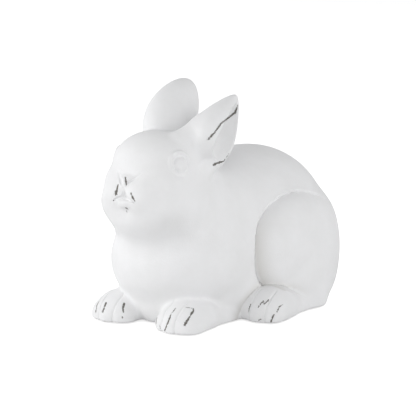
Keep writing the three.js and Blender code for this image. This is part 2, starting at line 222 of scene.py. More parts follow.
# Wear seen in the photograph: pixels along each rubbed line, with half its width in millimetres
WEAR_SEEN = {
    "ear_front_rim": [
        (208.3, 139.3, 1.3), (214.0, 133.2, 0.9), (217.8, 128.2, 1.0), (221.7, 122.9, 0.9),
        (229.3, 117.1, 0.9), (235.1, 112.5, 1.0), (237.6, 105.6, 0.6),
    ],
    "ear_lower_rim": [(214.0, 164.6, 1.1), (220.1, 162.3, 1.0), (224.0, 161.1, 0.6), (229.6, 152.8, 0.4)],
    "nose_ridge": [(125.1, 176.5, 0.5), (125.7, 180.3, 0.9), (126.6, 185.3, 0.6)],
    "lip_right": [(118.0, 184.5, 0.7), (117.2, 188.4, 1.0), (115.9, 193.7, 1.7)],
    "lip_left": [(131.2, 193.7, 1.2), (132.5, 197.2, 1.2), (134.8, 201.0, 0.6)],
    "chin_upper": [(125.4, 207.8, 0.8), (127.4, 208.8, 0.9)],
    "chin_lower": [(126.6, 211.2, 1.0), (127.0, 211.7, 1.0)],
    "right_paw_outer": [(102.0, 296.6, 0.3), (97.0, 304.9, 0.6), (95.8, 312.1, 0.8)],
    "right_paw_middle": [(105.9, 302.9, 0.9), (102.8, 311.7, 1.1)],
    "right_paw_inner": [(124.4, 303.3, 1.0), (122.7, 308.9, 0.9), (123.5, 312.5, 0.9)],
    "right_paw_spot": [(122.5, 317.0, 0.8), (122.5, 317.6, 0.8)],
    "right_paw_low_spot": [(104.6, 321.5, 0.7), (106.2, 321.9, 0.7)],
    "left_paw_inner": [(157.0, 317.3, 0.5), (155.9, 324.1, 0.6)],
    "left_paw_groove": [(159.4, 324.9, 0.4), (160.2, 328.4, 0.6)],
    "left_paw_middle": [(175.5, 308.1, 0.5), (170.9, 314.5, 0.7), (168.9, 320.1, 0.7), (164.8, 330.3, 0.9)],
    "left_paw_top": [(184.9, 307.2, 0.3), (193.2, 308.5, 0.5)],
    "left_paw_outer": [(193.2, 308.5, 0.6), (193.6, 310.5, 0.7), (188.9, 317.7, 0.7), (184.9, 324.5, 1.2)],
    "hind_inner": [(250.6, 304.2, 0.7), (247.6, 313.3, 0.5)],
    "hind_middle": [
        (257.9, 307.6, 0.5), (261.2, 303.3, 0.7), (263.3, 300.6, 0.7), (264.1, 304.2, 0.5),
        (265.7, 302.7, 0.6), (268.5, 300.0, 0.6),
    ],
    "hind_middle_spot": [(260.6, 319.3, 0.6), (258.2, 320.6, 0.5)],
    "hind_outer": [(283.1, 304.2, 0.4), (279.4, 306.7, 0.7), (277.0, 311.8, 0.9)],
    "hind_outer_low": [(274.2, 314.8, 0.9), (273.0, 316.4, 0.9), (270.9, 321.8, 0.8)],
}
WEAR_ON_RIGHT_FOOT = ["hind_inner", "hind_middle", "hind_middle_spot", "hind_outer", "hind_outer_low"]
WEAR_ON_RIGHT_EAR = ["ear_lower_rim"]
WEAR_SAMPLE = 0.4
WEAR_REACH = 3.0

# Finding the surface behind a pixel
RAY_MARGIN = 200.0
RAY_STEPS = 90
RAY_SHARE = 0.8

# Finishes, as linear colours
WHITE = (1, 1, 1, 1)
WHITE_PAINT = (0.86, 0.86, 0.865, 1)
WHITE_PAINT_THIN = (0.82, 0.82, 0.82, 1)
# The grey of the painted shade in the creases
PAINTED_CREASE_SHADE = (0.71, 0.7, 0.68, 1)
BARE_CEMENT = (0.2, 0.188, 0.168, 1)
BARE_CEMENT_DARK = (0.1, 0.094, 0.084, 1)
RAW_CEMENT = (0.42, 0.41, 0.385, 1)
RAW_CEMENT_DARK = (0.3, 0.29, 0.27, 1)
STEEL = (0.45, 0.46, 0.47, 1)
STEEL_SHADE = 0.8
RUBBER = (0.07, 0.065, 0.06, 1)
RUBBER_SHADE = 0.7

# Noise in the finishes: the size of its lumps in metres, its detail and its roughness
RAGGED_FINE = (0.0012, 4, 0.7)
RAGGED_BROAD = (0.005, 2, 0.5)
PAINT_PATCHES = (0.03, 5, 0.6)
PAINT_GRAIN = (0.0012, 4, 0.6)
PAINT_SWELL = (0.02, 3, 0.5)
CEMENT_GRAIN = (0.0022, 5, 0.7)
RAW_CEMENT_GRAIN = (0.004, 6, 0.7)
STEEL_STREAKS = (0.0008, 4, 0.5)
RUBBER_GRAIN = (0.0007, 4, 0.5)

# Ranges that noise, wear and places are read from, and ranges that they are spread to
WHOLE = (0.0, 1.0)
NOISE_MIDDLE = (0.3, 0.7)
NOISE_WIDE = (0.2, 0.8)
THIN_PAINT_NOISE = (0.35, 0.7)
WORN_DEPTH = (0.0, 0.4)
UNPAINTED_DEPTH = (-0.6, 0.2)
RAGGED_FINE_SHIFT = (-0.7, 0.65)
RAGGED_BROAD_SHIFT = (-0.4, 0.4)
GRAIN_HEIGHT = (-0.12, 0.12)
SWELL_HEIGHT = (-0.5, 0.5)
WORN_HEIGHT = (0.0, -0.6)
PAINT_ROUGHNESS = (0.82, 0.95)
STEEL_ROUGHNESS = (0.35, 0.55)
RUBBER_ROUGHNESS = (0.75, 0.9)

# Gloss, and the relief that a finish adds, in metres
PAINT_GLOSS = 0.3
PAINT_RELIEF = 0.0004
STEEL_RELIEF = 0.00003
RUBBER_RELIEF = 0.00005

# Places of the colour sockets on a mix node
COLOUR_A = 6
COLOUR_B = 7
COLOUR_MIXED = 2

# Studio
FLOOR_SIZE = 12.0
FLOOR_COLOUR = (0.8, 0.8, 0.8, 1)
FLOOR_GLOW = 0.75
AMBIENT = {"horizon": 0.97, "zenith": 0.3}
AMBIENT_COLOUR = (0.985, 0.99, 1.0, 1)
LIGHT_DISTANCE = 1.7
LIGHT_SIZE = 1.5
LIGHTS = {
    "front": {"turn": 0.0, "rise": 12.0, "power": 6.2},
    "left": {"turn": -82.0, "rise": 14.0, "power": 15.0},
    "right": {"turn": 75.0, "rise": 12.0, "power": 7.5},
}


# Distance fields: negative inside, close to millimetres near the surface
def length(vectors):
    return np.sqrt((vectors * vectors).sum(axis=-1))


def unit(vector):
    vector = np.array(vector, float)
    return vector / length(vector)


def mirrored(points):
    flipped = points.copy()
    flipped[..., 0] *= -1
    return flipped


def to_left(points):
    folded = points.copy()
    folded[..., 0] = np.abs(folded[..., 0])
    return folded


def ellipsoid(points, form):
    scaled = (points - form["at"]) / form["half"]
    reach = length(scaled) + TINY
    slope = length(scaled / form["half"]) + TINY
    return reach * (reach - 1) / slope


def tapered_rod(points, start, end, start_radius, end_radius):
    start = np.array(start, float)
    run = np.array(end, float) - start
    offset = points - start
    share = np.clip(offset @ run / (run @ run), 0, 1)
    return length(offset - share[..., None] * run) - (start_radius + (end_radius - start_radius) * share)


def blend(a, b, width):
    near = np.maximum(width - np.abs(a - b), 0) / width
    return np.minimum(a, b) - near * near * width / 4


def carve(a, b, width):
    """Takes form b out of form a, with a rounded edge."""
    return -blend(-a, b, width)


def beside_join(body, limb, along, reach):
    """How near the join of two forms points lie: most along it, less to each side and where it fades out."""
    aside = np.abs(body - limb) / np.where(body > limb, reach["on_limb"], reach["on_body"])
    return ramp(along, reach) * np.maximum(1 - aside, 0) ** 2


def ramp(values, widths):
    share = np.clip((values - widths["from_y"]) / (widths["to_y"] - widths["from_y"]), 0, 1)
    return widths["front"] + (widths["rear"] - widths["front"]) * share * share * (3 - 2 * share)


def haunch_places(points):
    """How far to the rear points lie, along the slants on which the haunch fades into the rump."""
    rise = points[:, 2] - HAUNCH["at"][2]
    return points[:, 1] - np.where(rise > 0, HAUNCH_FADE["above"], HAUNCH_FADE["below"]) * rise


def crease_places(points):
    """The same for the crease round the haunch, which ends sooner below."""
    below = np.maximum(HAUNCH["at"][2] - points[:, 2], 0)
    above = np.maximum(points[:, 2] - HAUNCH["at"][2], 0)
    return points[:, 1] * (1 + HAUNCH_FADE["crease_below"] * below) - HAUNCH_FADE["above"] * above


def inside_box(points, box):
    return np.all((points > np.array(box[0])) & (points < np.array(box[1])), axis=-1)


def within(points, box, form):
    """A form's distances inside its box, and a large distance elsewhere."""
    distances = np.full(len(points), FAR)
    inside = inside_box(points, box)
    if inside.any():
        distances[inside] = form(points[inside])
    return distances


def trunk(points):
    distances = ellipsoid(points, TRUNK[0])
    for form in TRUNK[1:]:
        distances = blend(distances, ellipsoid(points, form), form["blend"])
    return distances


def head(points):
    folded = to_left(points)
    cheeks = blend(ellipsoid(points, CHEEK), ellipsoid(mirrored(points), CHEEK), CHEEK_PAIR_BLEND)
    distances = blend(ellipsoid(points, SKULL), cheeks, CHEEK["blend"])
    for form in (MUZZLE, CHIN):
        distances = blend(distances, ellipsoid(points, form), form["blend"])
    distances = blend(distances, ellipsoid(folded, WHISKER_PAD), WHISKER_PAD["blend"])
    return blend(distances, ellipsoid(points, NOSE), NOSE["blend"])


def ear_frame(ear):
    """An ear's centre, half sizes and axes: along it, out of its face, and across its width."""
    run = np.array(ear["tip"], float) - ear["root"]
    along = unit(run)
    out = unit(np.array(ear["faces"]) - along * (along @ np.array(ear["faces"])))
    centre = np.array(ear["root"]) + run * (1 - EAR["root_share"]) / 2
    half = np.array([length(run) * (1 + EAR["root_share"]) / 2, EAR["thickness"], ear["width"]])
    axes = np.stack([along, out, np.cross(along, out)])
    return {"centre": centre, "half": half, "axes": axes, "taper": ear["taper"]}


EAR_FRAMES = {side: ear_frame(ear) for side, ear in EARS.items()}


def ear_places(points, shape):
    """Points in an ear's own axes, with its taper towards the tip evened out."""
    local = (points - shape["centre"]) @ shape["axes"].T
    share = np.clip(local[:, :1] / shape["half"][0], -1, 1)
    return local / np.where([True, False, False], 1, 1 - shape["taper"] * share)


def ear_body(points, side):
    shape = EAR_FRAMES[side]
    return ellipsoid(ear_places(points, shape), lump((0, 0, 0), shape["half"]))


def ear_scoop(points, side):
    shape = EAR_FRAMES[side]
    turn = math.radians(EARS[side]["scoop_turn"])
    local = ear_places(points, shape)
    out = local[:, 1] * math.cos(turn) + local[:, 2] * math.sin(turn)
    across = local[:, 2] * math.cos(turn) - local[:, 1] * math.sin(turn)
    half = (shape["half"][0] - EAR_SCOOP["tip_rim"], EAR_SCOOP["depth"], EAR_SCOOP["width"])
    return ellipsoid(np.stack([local[:, 0], out, across], axis=1), lump((0, EAR_SCOOP["out"], 0), half))


def ear_skirt(points):
    """The folds that carry the left ear's two edges down into the head."""
    return np.minimum.reduce([tapered_rod(points, *rod) for rod in EAR_SKIRT.values()])


def toes(points, row):
    distances = None
    for step in (-1, 0, 1):
        root_x = row["x"] + step * row["spread"] * TOE["root_spread"]
        root = (root_x, row["y"] + TOE["length"], row["z"] + TOE["rise"])
        tip = (row["x"] + step * row["spread"], row["y"] + TOE["outer_setback"] * abs(step), row["z"])
        toe = tapered_rod(points, root, tip, row["radius"], row["radius"])
        distances = toe if distances is None else blend(distances, toe, TOE["blend"])
    return distances


def toe_lines(points, row):
    """How deep the lines between the toes sink, fading out towards the foot."""
    back = points[:, 1] - row["y"]
    spread = 1 + (TOE["root_spread"] - 1) * np.clip(back / TOE["length"], 0, 1)
    places = [row["x"] + (line - row["x"]) * spread for line in row["lines"]]
    aside = np.minimum.reduce([np.abs(points[:, 0] - place) for place in places])
    fade = np.clip((TOE_LINE["length"] - back) / TOE_LINE["fade"], 0, 1)
    return TOE_LINE["depth"] * fade * np.maximum(1 - aside / TOE_LINE["half_width"], 0) ** 2


def foot(points, sole, row):
    heel = tapered_rod(points, sole["toe"], sole["heel"], *sole["radii"])
    return blend(heel, toes(points, row), TOE["foot_blend"]) + toe_lines(points, row)


def members(points):
    """Distances to each member's own form."""
    folded = to_left(points)
    return {
        "trunk": trunk(points),
        "haunch": ellipsoid(folded, HAUNCH),
        "head": within(points, HEAD_BOX, head),
        "ear_left": within(points, EAR_BOX, lambda p: ear_body(p, "left")),
        "ear_right": within(points, EAR_BOX, lambda p: ear_body(p, "right")),
        "scoop_left": within(points, EAR_BOX, lambda p: ear_scoop(p, "left")),
        "scoop_right": within(points, EAR_BOX, lambda p: ear_scoop(p, "right")),
        "ear_skirt": within(points, EAR_BOX, ear_skirt),
        "forepaw": within(folded, FOREPAW_BOX, lambda p: foot(p, FOREPAW, FORE_TOES)),
        "hind_foot": within(folded, HIND_FOOT_BOX, lambda p: foot(p, HIND_FOOT, HIND_TOES)),
        "tail": within(points, TAIL_BOX, lambda p: ellipsoid(p, TAIL)),
    }


def groove(points, cut):
    """A groove along a path, as wide at each of its points as the radius there says."""
    knots = list(zip(cut["path"], cut["radii"]))
    rods = [tapered_rod(points, a, b, near, far) for (a, near), (b, far) in zip(knots, knots[1:])]
    return np.minimum.reduce(rods)


def eye_ring(points, surface, outward):
    offset = points - (surface - outward * EYELID["sunk"] + (0, 0, EYELID["raised"]))
    height = offset @ outward
    radius = length(offset - height[..., None] * outward)
    return np.hypot(radius - EYELID["radius"], height) - EYELID["thickness"]


def face(points, distances):
    """Adds the eyes, the lower lip and the creases of nose and mouth."""
    folded = to_left(points)
    surface = np.array(EYE["at"])
    outward = unit(EYE["outward"])
    socket = length(folded - (surface + outward * EYE_SOCKET["raised"])) - EYE_SOCKET["radius"]
    globe = length(folded - (surface - outward * EYE["sunk"])) - EYE["radius"]
    distances = carve(distances, socket, EYE_SOCKET["blend"])
    distances = blend(distances, eye_ring(folded, surface, outward), EYELID["blend"])
    distances = blend(distances, globe, EYE["blend"])
    distances = blend(distances, ellipsoid(points, LOWER_LIP), LOWER_LIP["blend"])
    for cut in (NOSTRIL, LIP_CLEFT, MOUTH):
        distances = carve(distances, groove(folded, cut), cut["blend"])
    return distances


def outside(points, forms):
    """The whole outside, with every member blended into its neighbours, the face carved and the base cut."""
    along = points[:, 1]
    body = blend(forms["trunk"], forms["haunch"], ramp(haunch_places(points), HAUNCH_BLEND))
    body += beside_join(forms["trunk"], forms["haunch"], crease_places(points), HAUNCH_CREASE)
    upper = forms["head"]
    for side, width in EAR_BLENDS.items():
        upper = blend(upper, forms["ear_" + side], width)
    upper = blend(upper, forms["ear_skirt"], EAR_SKIRT_BLEND)
    for side in EARS:
        upper = carve(upper, forms["scoop_" + side], EAR_SCOOP["edge"])
    distances = blend(body, upper, ramp(along, HEAD_BLEND))
    distances = blend(distances, forms["forepaw"], FOREPAW_BLEND)
    sunk = beside_join(distances, forms["hind_foot"], along, FOOT_CREASE)
    distances = blend(distances, forms["hind_foot"], ramp(along, FOOT_BLEND)) + sunk
    distances = blend(distances, forms["tail"], TAIL_BLEND)
    front = inside_box(points, FACE_BOX)
    if front.any():
        distances[front] = face(points[front], distances[front])
    distances = carve(distances, points[:, 2] - BASE_Z, BASE_EDGE)
    return carve(distances, ellipsoid(points, CORE), CORE["blend"])


def surface_distance(points):
    return outside(points, members(points))


def distance_and_slope(points):
    corners = np.array([(1, -1, -1), (-1, -1, 1), (-1, 1, -1), (1, 1, 1)], float)
    values = [surface_distance(points + SLOPE_STEP * corner) for corner in corners]
    slope = sum(np.outer(value, corner) for value, corner in zip(values, corners)) / (4 * SLOPE_STEP)
    return sum(values) / 4, slope


def seat(form, blend_width):
    return form - blend_width * SWELL_SHARE - SEAT_CLEARANCE < 0


def casting_numbers(points, forms, distances):
    """Which casting each point lies in, counted from 1; 0 is the air."""
    across = np.abs(points[:, 0])
    along, up = points[:, 1], points[:, 2]
    pocket_sides = [HAUNCH_POCKET["bottom_z"] - up, HAUNCH_POCKET["floor_x"] - across]
    pairs = {
        "haunch": np.maximum.reduce([ellipsoid(points, HAUNCH_POCKET["oval"])] + pocket_sides) < 0,
        "forepaw": seat(np.maximum(forms["forepaw"], along - FOREPAW["back_y"]), FOREPAW_BLEND),
        "hind_foot": seat(
            np.maximum(forms["hind_foot"], along - HIND_FOOT["back_y"]), ramp(along, FOOT_BLEND),
        ),
    }
    seats = {"tail": seat(forms["tail"], TAIL_BLEND)}
    for name, held in pairs.items():
        seats[name + "_left"] = held & (points[:, 0] > 0)
        seats[name + "_right"] = held & (points[:, 0] <= 0)
    seats["head"] = seat(forms["head"], ramp(along, HEAD_BLEND))
    for side in EARS:
        seats["ear_" + side] = seat(forms["ear_" + side], EAR_BLENDS[side])
    numbers = np.ones(len(points), np.int8)
    for number, name in enumerate(CASTINGS[1:], start=2):
        numbers[seats[name]] = number
    numbers[distances > 0] = 0
    return numbers


# The net: one quad between every two unlike neighbours of a grid, with one vertex in each cell between them
def grid_axes():
    low = np.array(cad_low) / MM + (0, BREAST_Y, 0) - CELL * NET_MARGIN
    high = np.array(cad_high) / MM + (0, BREAST_Y, 0) + CELL * NET_MARGIN
    return [np.arange(a, b + CELL, CELL) for a, b in zip(low, high)]


def fill_grid(axes):
    """Distances and casting numbers at every point of the grid, a level at a time."""
    distances = np.empty([len(axis) for axis in axes])
    numbers = np.empty(distances.shape, np.int8)
    across, along = np.meshgrid(axes[0], axes[1], indexing="ij")
    for level, height in enumerate(axes[2]):
        points = np.stack([across, along, np.full(across.shape, height)], axis=-1).reshape(-1, 3)
        forms = members(points)
        values = outside(points, forms)
        held = casting_numbers(points, forms, values)
        skin = np.nonzero((values <= 0) & (values > -SKIN))[0]
        deeper = points[skin] - distance_and_slope(points[skin])[1] * (SKIN + values[skin])[:, None]
        held[skin] = casting_numbers(deeper, members(deeper), values[skin])
        distances[:, :, level] = values.reshape(across.shape)
        numbers[:, :, level] = held.reshape(across.shape)
    return distances, numbers


def crossings(axes, distances, numbers, axis):
    """Grid edges along one axis with unlike ends: the cells round them, castings and crossing points."""
    count = numbers.shape[axis] - 1
    lower = np.take(numbers, range(count), axis=axis)
    upper = np.take(numbers, range(1, count + 1), axis=axis)
    starts = np.argwhere(lower != upper)
    ends = starts.copy()
    ends[:, axis] += 1
    first = numbers[tuple(starts.T)]
    second = numbers[tuple(ends.T)]
    from_air = (first == 0) | (second == 0)
    near = distances[tuple(starts.T)]
    far = distances[tuple(ends.T)]
    share = np.where(from_air, near / np.where(from_air, near - far, 1), SEAM_SHARE)
    places = np.stack([axes[k][starts[:, k]] for k in range(3)], axis=1)
    places[:, axis] += share * CELL
    side, other = (axis + 1) % 3, (axis + 2) % 3
    cells = np.repeat(starts[:, None, :], 4, axis=1)
    cells[:, (0, 3), side] -= 1
    cells[:, (0, 1), other] -= 1
    return np.ravel_multi_index(cells.transpose(2, 0, 1), numbers.shape), first, second, places


def woven_net():
    """Vertices, quads, and the castings on a quad's two sides: the first behind it, the second before it."""
    axes = grid_axes()
    distances, numbers = fill_grid(axes)
    parts = [crossings(axes, distances, numbers, axis) for axis in range(3)]
    cells, first, second, places = [np.concatenate(part) for part in zip(*parts)]
    used, quads = np.unique(cells, return_inverse=True)
    quads = quads.reshape(-1, 4)
    weights = np.where((first == 0) | (second == 0), 1, SEAM_WEIGHT)
    shares = np.repeat(weights, 4)
    total = np.bincount(quads.ravel(), shares, len(used))
    sums = [np.bincount(quads.ravel(), shares * np.repeat(places[:, k], 4), len(used)) for k in range(3)]
    return np.stack(sums, axis=1) / total[:, None], quads, first, second


# Settling: points move onto the sculpted surface, and take their outward direction from it
def settled(points):
    for _ in range(SETTLE_STEPS):
        distances, slope = distance_and_slope(points)
        steepness = np.maximum((slope * slope).sum(axis=1), LEAST_STEEPNESS)
        move = np.clip(distances / steepness, -SETTLE_REACH, SETTLE_REACH)
        points = points - slope * move[:, None]
    return points


def outward_directions(points):
    slope = distance_and_slope(points)[1]
    return slope / np.maximum(length(slope), TINY)[:, None]


def refined(vertices, quads):
    """Every quad split into four."""
    ends = np.sort(np.stack([quads, np.roll(quads, -1, axis=1)], axis=-1), axis=-1).reshape(-1, 2)
    keys, index = np.unique(ends[:, 0] * len(vertices) + ends[:, 1], return_inverse=True)
    middles = (vertices[keys // len(vertices)] + vertices[keys % len(vertices)]) / 2
    centres = vertices[quads].mean(axis=1)
    edge = len(vertices) + index.reshape(-1, 4)
    centre = len(vertices) + len(middles) + np.arange(len(quads))
    parts = [np.stack([quads[:, k], edge[:, k], centre, edge[:, k - 1]], axis=1) for k in range(4)]
    return np.concatenate([vertices, middles, centres]), np.concatenate(parts)


# Wear: lines on the surface, from the photograph's pixels
def view_axes():
    yaw, rise = math.radians(VIEW_YAW), math.radians(VIEW_RISE)
    back = np.array([math.sin(yaw) * math.cos(rise), -math.cos(yaw) * math.cos(rise), math.sin(rise)])
    right = np.array([math.cos(yaw), math.sin(yaw), 0])
    return right, np.cross(back, right), back


def seen_points(pixels):
    """The points of the sculpture that the photograph shows at some pixels."""
    right, up, back = view_axes()
    aside = (pixels - np.array(VIEW_MIDDLE)) * PIXEL_SIZE
    rays = aside[:, :1] * right - aside[:, 1:] * up - VIEW_DISTANCE * back
    rays /= length(rays)[:, None]
    eye_point = np.array(VIEW_TARGET) + VIEW_DISTANCE * back
    travelled = np.full(len(pixels), VIEW_DISTANCE - RAY_MARGIN)
    for _ in range(RAY_STEPS):
        travelled += RAY_SHARE * surface_distance(eye_point + rays * travelled[:, None])
    return eye_point + rays * travelled[:, None]


def drawn_out(line):
    """A line's points and half widths, close together."""
    knots = np.array(line)
    places = np.concatenate([[0], np.cumsum(length(np.diff(knots[:, :2], axis=0)))])
    samples = np.linspace(0, places[-1], 2 + int(places[-1] / WEAR_SAMPLE))
    return np.stack([np.interp(samples, places, knots[:, k]) for k in range(3)], axis=1)


def onto_right_ear(points):
    """Points on the left ear, moved to the same places on the right one."""
    left, right = EAR_FRAMES["left"], EAR_FRAMES["right"]
    local = (points - left["centre"]) @ left["axes"].T / left["half"]
    return right["centre"] + (local * (1, 1, -1) * right["half"]) @ right["axes"]


def wear_lines():
    lines = []
    for name, line in WEAR_SEEN.items():
        drawn = drawn_out(line)
        points = seen_points(drawn[:, :2])
        lines.append((points, drawn[:, 2]))
        if name in WEAR_ON_RIGHT_FOOT:
            lines.append((settled(mirrored(points)), drawn[:, 2]))
        if name in WEAR_ON_RIGHT_EAR:
            lines.append((settled(onto_right_ear(points)), drawn[:, 2]))
    return lines


def wear_at(vertices, lines):
    """How deep each vertex lies in a rubbed line: 1 in its middle, 0 at its edge, less outside."""
    depth = np.full(len(vertices), -WEAR_REACH)
    for points, half_widths in lines:
        reach = WEAR_REACH * half_widths.max()
        close = np.nonzero(inside_box(vertices, (points.min(axis=0) - reach, points.max(axis=0) + reach)))[0]
        if len(close) == 0:
            continue
        gaps = length(vertices[close][:, None, :] - points[None, :, :])
        depth[close] = np.maximum(depth[close], (1 - gaps / half_widths).max(axis=1))
    return depth


def painted_shade_at(vertices):
    """How much painted shade lies on each vertex close to both members of a join: a grey that stands in for
    the shade in the crease.
    """
    forms = members(vertices)
    body = np.minimum(forms["trunk"], forms["haunch"])
    above = np.maximum(vertices[:, 2] - HAUNCH["at"][2], 0)
    middle = HAUNCH_PAINTED_SHADE_INSET["middle"] - HAUNCH_PAINTED_SHADE_INSET["rise"] * above
    inset = -ellipsoid(vertices, HAUNCH_POCKET["oval"]) - middle
    along = np.maximum(crease_places(vertices), vertices[:, 1]) + HAUNCH_PAINTED_SHADE_FADE * above
    haunch = beside_join(inset, 0, along, HAUNCH_PAINTED_SHADE)
    foot_top = beside_join(body, forms["hind_foot"], vertices[:, 1], FOOT_PAINTED_SHADE)
    haunch[np.maximum(forms["trunk"], forms["haunch"]) > PAINTED_SHADE_REACH] = 0
    foot_top[np.maximum(body, forms["hind_foot"]) > PAINTED_SHADE_REACH] = 0
    return np.maximum(haunch, foot_top)


# Castings
def casting_mesh(name, vertices, quads, shown, lines):
    """A closed mesh whose outer faces take their shading from the sculpted surface."""
    outer = np.zeros(len(vertices), bool)
    outer[quads[shown].ravel()] = True
    vertices[outer] = settled(vertices[outer])
    directions = np.zeros_like(vertices)
    directions[outer] = outward_directions(vertices[outer])
    corners = vertices[quads]
    flat = np.cross(corners[:, 2] - corners[:, 0], corners[:, 3] - corners[:, 1])
    flat /= np.maximum(length(flat), TINY)[:, None]
    shading = np.where(shown[:, None, None], directions[quads], flat[:, None, :])
    mesh = bpy.data.meshes.new(name)
    places = (vertices - (0, BREAST_Y, 0)) * MM
    mesh.from_pydata(np.clip(places, np.array(cad_low), np.array(cad_high)), [], quads)
    mesh.polygons.foreach_set("use_smooth", np.ones(len(quads), bool))
    mesh.attributes.new("wear", "FLOAT", "POINT").data.foreach_set("value", wear_at(vertices, lines))
    # Painted shade: how much grey stands in for the shade in the creases at each vertex
    mesh.attributes.new("painted_shade", "FLOAT", "POINT").data.foreach_set("value", painted_shade_at(vertices))
    unpainted = np.maximum(-ellipsoid(vertices, CORE), BASE_Z - vertices[:, 2])
    mesh.attributes.new("unpainted", "FLOAT", "POINT").data.foreach_set("value", unpainted)
    mesh.normals_split_custom_set(shading.reshape(-1, 3))
    return mesh


def add_piece(name, mesh, node, material):
    piece = bpy.data.objects.new(name, mesh)
    bpy.context.scene.collection.objects.link(piece)
    mesh.materials.clear()
    mesh.materials.append(material)
    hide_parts(node)
    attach(piece, "root")
    return piece


def add_castings(material):
    net, quads, first, second = woven_net()
    lines = wear_lines()
    for number, name in enumerate(CASTINGS, start=1):
        behind, before = first == number, second == number
        faces = np.concatenate([quads[behind], quads[before][:, ::-1]])
        shown = np.concatenate([second[behind] == 0, first[before] == 0])
        used, faces = np.unique(faces, return_inverse=True)
        vertices, faces = net[used], faces.reshape(-1, 4)
        if name in FINE_CASTINGS:
            vertices, faces = refined(vertices, faces)
            shown = np.tile(shown, 4)
        mesh = casting_mesh(name + "_casting", vertices, faces, shown, lines)
        add_piece(name + "_casting", mesh, name, material)


# Node materials
class Shader:
    """A material whose nodes are added one by one; positions are in metres in the object's own frame."""

    def __init__(self, name):
        self.material = bpy.data.materials.new(name)
        self.material.use_nodes = True
        self.tree = self.material.node_tree
        self.surface = self.tree.nodes["Principled BSDF"]
        self.place = self.tree.nodes.new("ShaderNodeTexCoord").outputs["Object"]

    def add(self, kind, inputs, **settings):
        node = self.tree.nodes.new(kind)
        for key, value in settings.items():
            setattr(node, key, value)
        for socket, value in inputs.items():
            self.set(node.inputs[socket], value)
        return node

    def set(self, socket, value):
        if isinstance(value, bpy.types.NodeSocket):
            self.tree.links.new(value, socket)
        else:
            socket.default_value = value

    def noise(self, size, detail, roughness):
        """Noise whose lumps are about a size across, in metres."""
        inputs = {"Vector": self.place, "Scale": 1 / size, "Detail": detail, "Roughness": roughness}
        return self.add("ShaderNodeTexNoise", inputs).outputs["Fac"]

    def spread(self, value, reading, result=WHOLE):
        """A value read between two limits, spread between two others."""
        ends = {"From Min": reading[0], "From Max": reading[1], "To Min": result[0], "To Max": result[1]}
        return self.add("ShaderNodeMapRange", {"Value": value, **ends}).outputs["Result"]

    def sum(self, a, b):
        return self.add("ShaderNodeMath", {0: a, 1: b}, operation="ADD").outputs["Value"]

    def mix(self, factor, a, b):
        node = self.add("ShaderNodeMix", {"Factor": factor}, data_type="RGBA")
        self.set(node.inputs[COLOUR_A], a)
        self.set(node.inputs[COLOUR_B], b)
        return node.outputs[COLOUR_MIXED]

    def attribute(self, name):
        return self.add("ShaderNodeAttribute", {}, attribute_name=name).outputs["Fac"]

    def bump(self, height, depth):
        return self.add("ShaderNodeBump", {"Height": height, "Distance": depth}).outputs["Normal"]

    def finish(self, **inputs):
        for socket, value in inputs.items():
            self.set(self.surface.inputs[socket.replace("_", " ")], value)
        return self.material


def painted_cement():
    """Matte white paint with painted shade in the creases, rubbed through to cement along the wear lines."""
    shader = Shader("painted_cement")
    ragged = shader.sum(
        shader.spread(shader.noise(*RAGGED_FINE), NOISE_MIDDLE, RAGGED_FINE_SHIFT),
        shader.spread(shader.noise(*RAGGED_BROAD), NOISE_MIDDLE, RAGGED_BROAD_SHIFT),
    )
    worn = shader.spread(shader.sum(shader.attribute("wear"), ragged), WORN_DEPTH)
    bare = shader.spread(shader.attribute("unpainted"), UNPAINTED_DEPTH)
    thin = shader.spread(shader.noise(*PAINT_PATCHES), THIN_PAINT_NOISE)
    paint = shader.mix(thin, WHITE_PAINT, WHITE_PAINT_THIN)
    # Painted shade: grey mixed into the paint in the creases
    paint = shader.mix(shader.attribute("painted_shade"), paint, PAINTED_CREASE_SHADE)
    cement = shader.mix(shader.noise(*CEMENT_GRAIN), BARE_CEMENT_DARK, BARE_CEMENT)
    raw = shader.mix(shader.noise(*RAW_CEMENT_GRAIN), RAW_CEMENT_DARK, RAW_CEMENT)
    colour = shader.mix(bare, shader.mix(worn, paint, cement), raw)
    grain = shader.spread(shader.noise(*PAINT_GRAIN), NOISE_WIDE, GRAIN_HEIGHT)
    swell = shader.spread(shader.noise(*PAINT_SWELL), NOISE_WIDE, SWELL_HEIGHT)
    height = shader.sum(shader.sum(grain, swell), shader.spread(worn, WHOLE, WORN_HEIGHT))
    return shader.finish(
        Base_Color=colour,
        Roughness=shader.spread(worn, WHOLE, PAINT_ROUGHNESS),
        Normal=shader.bump(height, PAINT_RELIEF),
        Specular_IOR_Level=PAINT_GLOSS,
    )


def darker(colour, share):
    return tuple(share * value for value in colour[:3]) + (1,)


def drawn_steel():
    shader = Shader("drawn_steel")
    streaks = shader.noise(*STEEL_STREAKS)
    return shader.finish(
        Base_Color=shader.mix(streaks, STEEL, darker(STEEL, STEEL_SHADE)),
        Roughness=shader.spread(streaks, NOISE_MIDDLE, STEEL_ROUGHNESS),
        Normal=shader.bump(streaks, STEEL_RELIEF),
        Metallic=1.0,
    )


def pad_rubber():
    shader = Shader("pad_rubber")
    grain = shader.noise(*RUBBER_GRAIN)
    return shader.finish(
        Base_Color=shader.mix(grain, darker(RUBBER, RUBBER_SHADE), RUBBER),
        Roughness=shader.spread(grain, NOISE_MIDDLE, RUBBER_ROUGHNESS),
        Normal=shader.bump(grain, RUBBER_RELIEF),
    )


